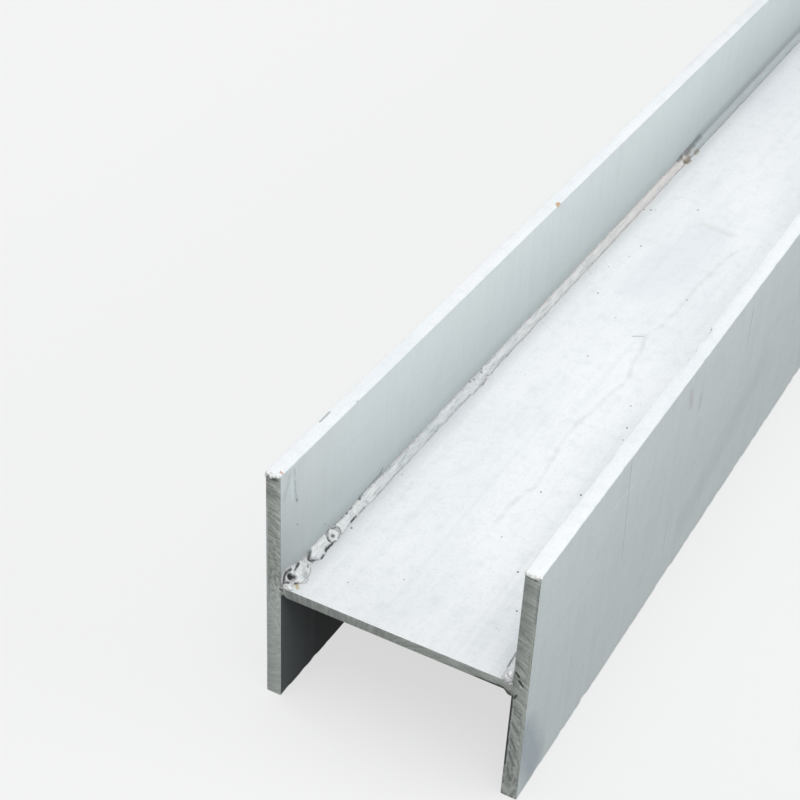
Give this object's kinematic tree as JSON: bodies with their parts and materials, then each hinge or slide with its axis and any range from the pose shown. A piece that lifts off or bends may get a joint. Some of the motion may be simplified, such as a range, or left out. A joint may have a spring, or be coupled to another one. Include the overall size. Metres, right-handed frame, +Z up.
{
  "type": "welded aluminium h-beam",
  "caption": "Straight H-section beam of flat plates joined by fillet welds along the inner corners, sawn square at both ends.",
  "frame": {"origin": "ground level, under the middle of the beam", "axes": "+X along the length towards the far sawn end, +Y across the web towards the left flange, +Z up; the web lies level and the flanges stand upright"},
  "size_m": [3, 0.2, 0.2],
  "materials": {
    "plate": "matt oxidised mill finish, with bare sawn ends",
    "weld": "as-welded, rippled, with dark toes"
  },
  "bodies": {
    "root": {"web_plate": "plate", "flange_plate_left": "plate", "flange_plate_right": "plate", "fillet_weld_top_left": "weld", "fillet_weld_top_right": "weld", "fillet_weld_bottom_left": "weld", "fillet_weld_bottom_right": "weld"}
  },
  "joints": []
}
